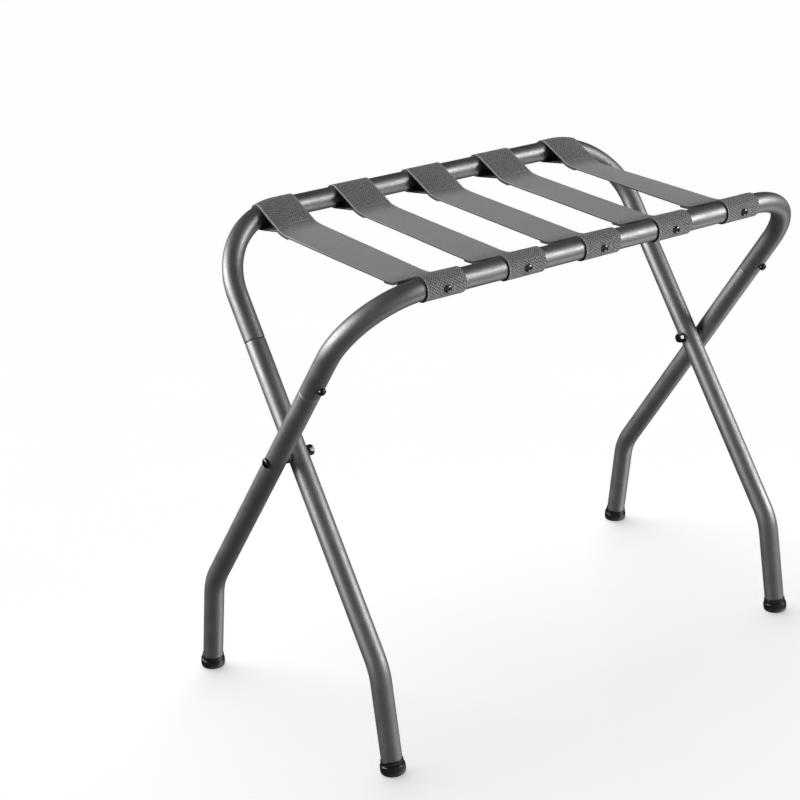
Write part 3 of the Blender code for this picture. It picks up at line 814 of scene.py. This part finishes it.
def stitching(strap):
    """Rows of stitches across the strap where each loop is sewn, on both faces."""
    cage = bmesh.new()
    line = slack_line()
    above = STRAP_THICKNESS / 2
    below = -STRAP_THICKNESS * 1.5 - PLY_GAP
    count = int((STRAP_WIDTH - 2 * STITCH_MARGIN) / STITCH_PITCH)
    for row in STITCH_ROWS:
        v, (normal_u, normal_v) = point_at(line, row)
        for mirrored in (False, True):
            for face, sign in ((above, 1), (below, -1)):
                u = row + normal_u * face
                lean = normal_u
                if mirrored:
                    u, lean = strap.span - u, -normal_u
                up = (strap.along * lean + strap.up * normal_v) * sign
                for i in range(count):
                    across = (i - count / 2) * STITCH_PITCH + (STITCH_PITCH - STITCH_LENGTH) / 2
                    start = strap.place(across, u, v + normal_v * face)
                    end = strap.place(across + STITCH_LENGTH, u, v + normal_v * face)
                    stitch(cage, start, end, up)
    bmesh.ops.recalc_face_normals(cage, faces=cage.faces)
    mesh = bpy.data.meshes.new(f"strap_{strap.number}_stitches")
    cage.to_mesh(mesh)
    cage.free()
    return mesh


def make_strap(number):
    """One strap with its stitches, laid between the frames with its transform baked in."""
    strap = Strap(number)
    mesh, length = strap_mesh(strap)
    band = piece_from_mesh(mesh.name, mesh, None, WEBBING)
    mesh = stitching(strap)
    seams = piece_from_mesh(mesh.name, mesh, None, THREAD)
    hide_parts(f"strap_{number}")
    start = rail_centre(OUTER, 0.0) + Vector((0, BLEND_MARGIN, 0))
    end = rail_centre(INNER, 0.0) - Vector((0, BLEND_MARGIN, 0))
    for piece in (band, seams):
        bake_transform(piece)


# ---- fasteners -----------------------------------------------------------------------
def lying_along(node, direction):
    """Where a turned CAD piece lies: its axis point furthest along direction, with Z
    along direction, and its length."""
    points = [vertex.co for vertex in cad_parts[node].data.vertices]
    centre = sum(points, Vector()) / len(points)
    reach = [(point - centre).dot(direction) for point in points]
    origin = centre + direction * max(reach)
    turn = direction.to_track_quat("Z", "Y").to_matrix().to_4x4()
    return Matrix.Translation(origin) @ turn, max(reach) - min(reach)


def cut_recess(mesh, width, depth, drive):
    """A cross or hexagon recess in the top of a head at z = 0."""
    cage = bmesh.new()
    if drive == "hexagon":
        bmesh.ops.create_cone(
            cage, cap_ends=True, segments=6, radius1=width, radius2=width, depth=2 * depth
        )
    else:
        for turn in (0, math.pi / 2):
            slot = Matrix.Diagonal((width * 2, width * 0.45, 2 * depth, 1))
            bmesh.ops.create_cube(cage, size=1.0, matrix=Matrix.Rotation(turn, 4, "Z") @ slot)
    cutter_mesh = bpy.data.meshes.new("recess")
    cage.to_mesh(cutter_mesh)
    cage.free()
    cutter = bpy.data.objects.new("recess", cutter_mesh)
    body = bpy.data.objects.new("head", mesh)
    for thing in (cutter, body):
        bpy.context.scene.collection.objects.link(thing)
    modifier = body.modifiers.new("recess", "BOOLEAN")
    modifier.operation = "DIFFERENCE"
    modifier.object = cutter
    modifier.use_self = True
    evaluated = body.evaluated_get(bpy.context.evaluated_depsgraph_get())
    cut_mesh = bpy.data.meshes.new_from_object(evaluated)
    for thing in (cutter, body):
        bpy.data.objects.remove(thing, do_unlink=True)
    return cut_mesh


class Screw:
    """One kind of screw or bolt: its head, its shank, its recess and its finish."""

    def __init__(self, name, finish, head_radius, head_height, shank_radius, recess_width, drive):
        self.name = name
        self.finish = finish
        self.head = (head_radius, head_height)
        self.shank_radius = shank_radius
        self.recess_width = recess_width
        self.drive = drive

    def mesh(self, length):
        """Its head's top at z = 0 and its shank down -Z; a screw with a cross is pointed."""
        radius, height = self.head
        crown_height = height * 0.62
        crown = [
            (radius * math.cos(a), crown_height * math.sin(a) - crown_height)
            for a in (math.radians(degrees) for degrees in range(0, 90, 10))
        ]
        tip = self.shank_radius * (1.4 if self.drive == "cross" else 0.3)
        profile = [
            (0.0, -length),
            (self.shank_radius - tip * 0.7, -length),
            (self.shank_radius, -length + tip),
            (self.shank_radius, -height),
            (radius - 0.0002, -height),
            (radius, -height + 0.0002),
            *crown,
            (0.0, 0.0),
        ]
        turned = turned_mesh(self.name, profile, 40)
        return cut_recess(turned, self.recess_width, height * 0.55, self.drive)


STRAP_SCREW = Screw("strap_screw", WORN_NICKEL, 0.0040, 0.0024, 0.0014, 0.0015, "cross")
JOINT_SCREW = Screw("joint_screw", BLACK_NICKEL, 0.0042, 0.0045, 0.0018, 0.0015, "hexagon")
PIVOT_BOLT = Screw("pivot_bolt", BLACK_NICKEL, 0.00525, 0.0033, 0.0029, 0.0023, "hexagon")


def place_copy(name, mesh, place, body, finish, node):
    piece = piece_from_mesh(name, mesh.copy(), None, finish)
    piece.matrix_world = place
    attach(piece, body)
    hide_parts(node)


def place_screw(screw, node, direction, body, turn=0.0):
    place, length = lying_along(node, direction)
    place = place @ Matrix.Rotation(turn, 4, "Z")
    place_copy(node + "_plated", screw.mesh(length), place, body, screw.finish, node)


def screws():
    """The strap screws and the joint screws, shaped like their CAD pieces."""
    for frame_line in FRAMES:
        end = "front" if frame_line is OUTER else "rear"
        for number in range(1, STRAP_COUNT + 1):
            place_screw(
                STRAP_SCREW, f"strap_screw_{end}_{number}", frame_line.screw_direction(),
                frame_line.body, turn=number * 0.9,
            )
        for side_name in SIDES:
            node = f"{frame_line.label}_joint_screw_{side_name}"
            place_screw(JOINT_SCREW, node, frame_line.outward(), frame_line.body)


def nut_mesh(radius, height, bore):
    """A hexagon nut with chamfered corners and a round bore, from z = -height to 0."""
    chamfer = 0.0006
    flat = radius * math.cos(math.pi / 6)
    rings = []
    for z, chamfered in ((-height, True), (-height + chamfer, False), (-chamfer, False), (0.0, True)):
        ring = []
        for j in range(FASTENER_SIDES):
            angle = 2 * math.pi * j / FASTENER_SIDES
            reach = flat / math.cos(angle % (math.pi / 3) - math.pi / 6)
            if chamfered:
                reach = min(reach, flat * 1.04)
            ring.append((reach * math.cos(angle), reach * math.sin(angle), z))
        rings.append(ring)
    rings += [circle(bore, z, FASTENER_SIDES) for z in (0.0, -height)]
    return bored_mesh("nut", rings)


def ring_mesh(name, radius, bore, height, rounding):
    """A washer or spacer from z = -height to 0, with rounded outer edges."""
    profile = [(bore, -height)]
    profile += arc((radius - rounding, -height + rounding), rounding, -90, 0, 4)
    profile += arc((radius - rounding, -rounding), rounding, 0, 90, 4)
    profile += [(bore, 0.0)]
    return bored_mesh(name, [circle(r, z, FASTENER_SIDES) for r, z in profile])


def pivots():
    """Bolt, nut, washer and spacer at each side."""
    bore = PIVOT_HOLE_RADIUS
    for side_name, side in SIDES.items():
        away = Vector((side, 0.0, 0.0))
        place_screw(PIVOT_BOLT, "pivot_bolt_" + side_name, away, OUTER.body)
        _, spacer_height = lying_along("pivot_spacer_" + side_name, away)
        washer = ring_mesh("washer", WASHER_RADIUS, bore, WASHER_HEIGHT, 0.0002)
        spacer = ring_mesh("spacer", SPACER_RADIUS, bore, spacer_height, 0.0004)
        for prefix, mesh, slot, finish in (
            ("pivot_nut_", nut_mesh(NUT_RADIUS, NUT_HEIGHT, NUT_BORE), "dark_fastener", GREY_PLATE),
            ("pivot_washer_", washer, "black_washer", MATT),
            ("pivot_spacer_", spacer, "black_washer", MATT),
        ):
            node = prefix + side_name
            place, _ = lying_along(node, away)
            place_copy(node + "_finished", mesh, place, OUTER.body, finish, node)


# ---- feet ----------------------------------------------------------------------------
def foot_cap(frame_line, side_name):
    """A moulded foot: plug, shelf under the tube's end and a fat rounded edge, flat on
    the floor."""
    side = SIDES[side_name]
    plug = TUBE_RADIUS - TUBE_WALL - SEAM_GAP
    shelf = CAP_HEIGHT - SEAM_GAP
    round_edge = 0.0030
    base = arc((CAP_RADIUS - round_edge, 0.0036), round_edge, -90, 0, 10)
    base = [(radius, z * 1.9 - 0.0032) for radius, z in base]
    base += arc((CAP_RADIUS - 0.0022, CAP_SHOULDER_HEIGHT - 0.0024), 0.0022, 0, 80, 8)
    neck = arc((CAP_NECK_RADIUS + 0.0003, CAP_SHOULDER_HEIGHT + 0.0004), 0.0003, 270, 180, 3)
    neck += arc((CAP_NECK_RADIUS - 0.0006, shelf - 0.0006), 0.0006, 0, 90, 5)
    profile = [(0.0, base[0][1]), *base, *neck]
    plug_top = shelf + CAP_PLUG_LENGTH
    profile += [(plug, shelf), (plug, plug_top - 0.0012), (plug - 0.0008, plug_top)]
    profile += [(0.0, plug_top)]
    node = f"{frame_line.label}_foot_cap_{side_name}"
    mesh = turned_mesh(node + "_moulded", profile, CAP_SIDES)
    turn = frame_line.foot_up(side).to_track_quat("Z", "Y").to_matrix().to_4x4()
    mesh.transform(Matrix.Translation(frame_line.foot(side)) @ turn)
    cage = bmesh.new()
    cage.from_mesh(mesh)
    everything = cage.verts[:] + cage.edges[:] + cage.faces[:]
    cut = bmesh.ops.bisect_plane(
        cage, geom=everything, plane_co=(0, 0, 0), plane_no=(0, 0, -1), clear_outer=True
    )
    rim = [part for part in cut["geom_cut"] if isinstance(part, bmesh.types.BMEdge)]
    bmesh.ops.contextual_create(cage, geom=rim)
    bmesh.ops.recalc_face_normals(cage, faces=cage.faces)
    cage.to_mesh(mesh)
    cage.free()
    cap = piece_from_mesh(mesh.name, mesh, frame_line.body, FOOT)
    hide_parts(node)


# ---- stage, light and camera ---------------------------------------------------------
def stage():
    bpy.ops.mesh.primitive_plane_add(size=60.0, location=(0, 0, -0.0002))
    floor = bpy.context.object
    floor.name = "floor"
    finish = Finish("pale_floor", (0.9, 0.9, 0.9), 0.9)
    cloud = finish.noise(finish.object_coordinates(), 3.0, 2.0)
    finish.set("Base Color", finish.mix(cloud, (0.90, 0.90, 0.90, 1), (0.93, 0.93, 0.93, 1)))
    finish.shader.inputs["Emission Color"].default_value = (1, 1, 1, 1)
    finish.shader.inputs["Emission Strength"].default_value = 0.46
    floor.data.materials.append(finish.material)
    floor.visible_glossy = False
    floor.visible_diffuse = False
    floor.visible_shadow = False


def area_light(name, place, target, size, power, glossy=True):
    """A softbox that lights the rack and leaves the floor to the ceiling's light."""
    light = bpy.data.lights.new(name, "AREA")
    light.shape = "RECTANGLE"
    light.size, light.size_y = size
    light.energy = power
    lamp = bpy.data.objects.new(name, light)
    bpy.context.scene.collection.objects.link(lamp)
    lamp.location = place
    lamp.rotation_euler = (Vector(target) - Vector(place)).to_track_quat("-Z", "Y").to_euler()
    lamp.visible_glossy = glossy
    lamp.visible_camera = False
    unlit = bpy.data.collections.new(name + "_leaves_out")
    unlit.objects.link(bpy.data.objects["floor"])
    lamp.light_linking.receiver_collection = unlit
    unlit.collection_objects[0].light_linking.link_state = "EXCLUDE"


def lights():
    ceiling = bpy.data.objects.new("ceiling", bpy.data.lights.new("ceiling", "SUN"))
    ceiling.data.energy = 2.2
    ceiling.data.angle = math.radians(75)
    ceiling.rotation_euler = (math.radians(-36), math.radians(6), 0)
    ceiling.visible_glossy = False
    bpy.context.scene.collection.objects.link(ceiling)
    area_light("left", (-2.7, 1.8, 1.25), (0, 0, 0.3), (3.4, 1.8), 115)
    area_light("right", (2.3, -2.1, 1.5), (0, 0, 0.3), (2.0, 1.2), 60)
    area_light("front", (0.9, -3.2, 0.8), (0, 0, 0.4), (2.4, 1.6), 70, glossy=False)
    area_light("bounce", (1.7, -1.2, -1.6), (0, 0, 0.45), (2.4, 1.3), 12)
    area_light("low_front", (1.4, -2.5, -1.0), (0, 0, 0.45), (3.0, 1.6), 150, glossy=False)
    world = bpy.data.worlds.new("studio")
    bpy.context.scene.world = world
    world.use_nodes = True
    tree = world.node_tree
    split = tree.nodes.new("ShaderNodeSeparateXYZ")
    tree.links.new(tree.nodes.new("ShaderNodeTexCoord").outputs["Generated"], split.inputs[0])

    def spread(value, from_low, from_high, low, high):
        made = tree.nodes.new("ShaderNodeMapRange")
        tree.links.new(value, made.inputs[0])
        for socket, number in zip(made.inputs[1:5], (from_low, from_high, low, high)):
            socket.default_value = number
        return made.outputs[0]

    ramp = tree.nodes.new("ShaderNodeValToRGB")
    stops = [(0.0, 0.04), (0.40, 0.09), (0.49, 0.20), (0.56, 0.20), (0.68, 0.06), (1.0, 0.03)]
    while len(ramp.color_ramp.elements) < len(stops):
        ramp.color_ramp.elements.new(0.5)
    for element, (position, level) in zip(ramp.color_ramp.elements, stops):
        element.position = position
        element.color = (level, level, level, 1)
    tree.links.new(spread(split.outputs["Z"], -1.0, 1.0, 0.0, 1.0), ramp.inputs[0])
    behind = spread(split.outputs["Y"], -0.1, 0.5, 1.0, 0.25)
    room = tree.nodes.new("ShaderNodeVectorMath")
    room.operation = "SCALE"
    tree.links.new(ramp.outputs[0], room.inputs[0])
    tree.links.new(behind, room.inputs["Scale"])
    mix = tree.nodes.new("ShaderNodeMix")
    mix.data_type = "RGBA"
    tree.links.new(tree.nodes.new("ShaderNodeLightPath").outputs["Is Camera Ray"], mix.inputs[0])
    tree.links.new(room.outputs[0], mix.inputs[6])
    mix.inputs[7].default_value = (1, 1, 1, 1)
    tree.links.new(mix.outputs[2], tree.nodes["Background"].inputs["Color"])


def camera():
    data = bpy.data.cameras.new("camera")
    data.lens = 85.8
    data.sensor_width = 36.0
    data.clip_end = 100.0
    seen_from = bpy.data.objects.new("camera", data)
    bpy.context.scene.collection.objects.link(seen_from)
    seen_from.location = (-1.2466, -1.5046, 1.0601)
    seen_from.rotation_euler = [math.radians(angle) for angle in (68.476, 1.319, -36.666)]
    bpy.context.scene.camera = seen_from
    bpy.context.scene.view_settings.view_transform = "Standard"


# ---- putting it together -------------------------------------------------------------
camera()
stage()
lights()
rail_tubes = [top_tube(frame_line) for frame_line in FRAMES]
for line in FRAMES:
    for name in SIDES:
        lower_leg(line, name)
        foot_cap(line, name)
for strap_number in range(1, STRAP_COUNT + 1):
    make_strap(strap_number)
screws()
pivots()
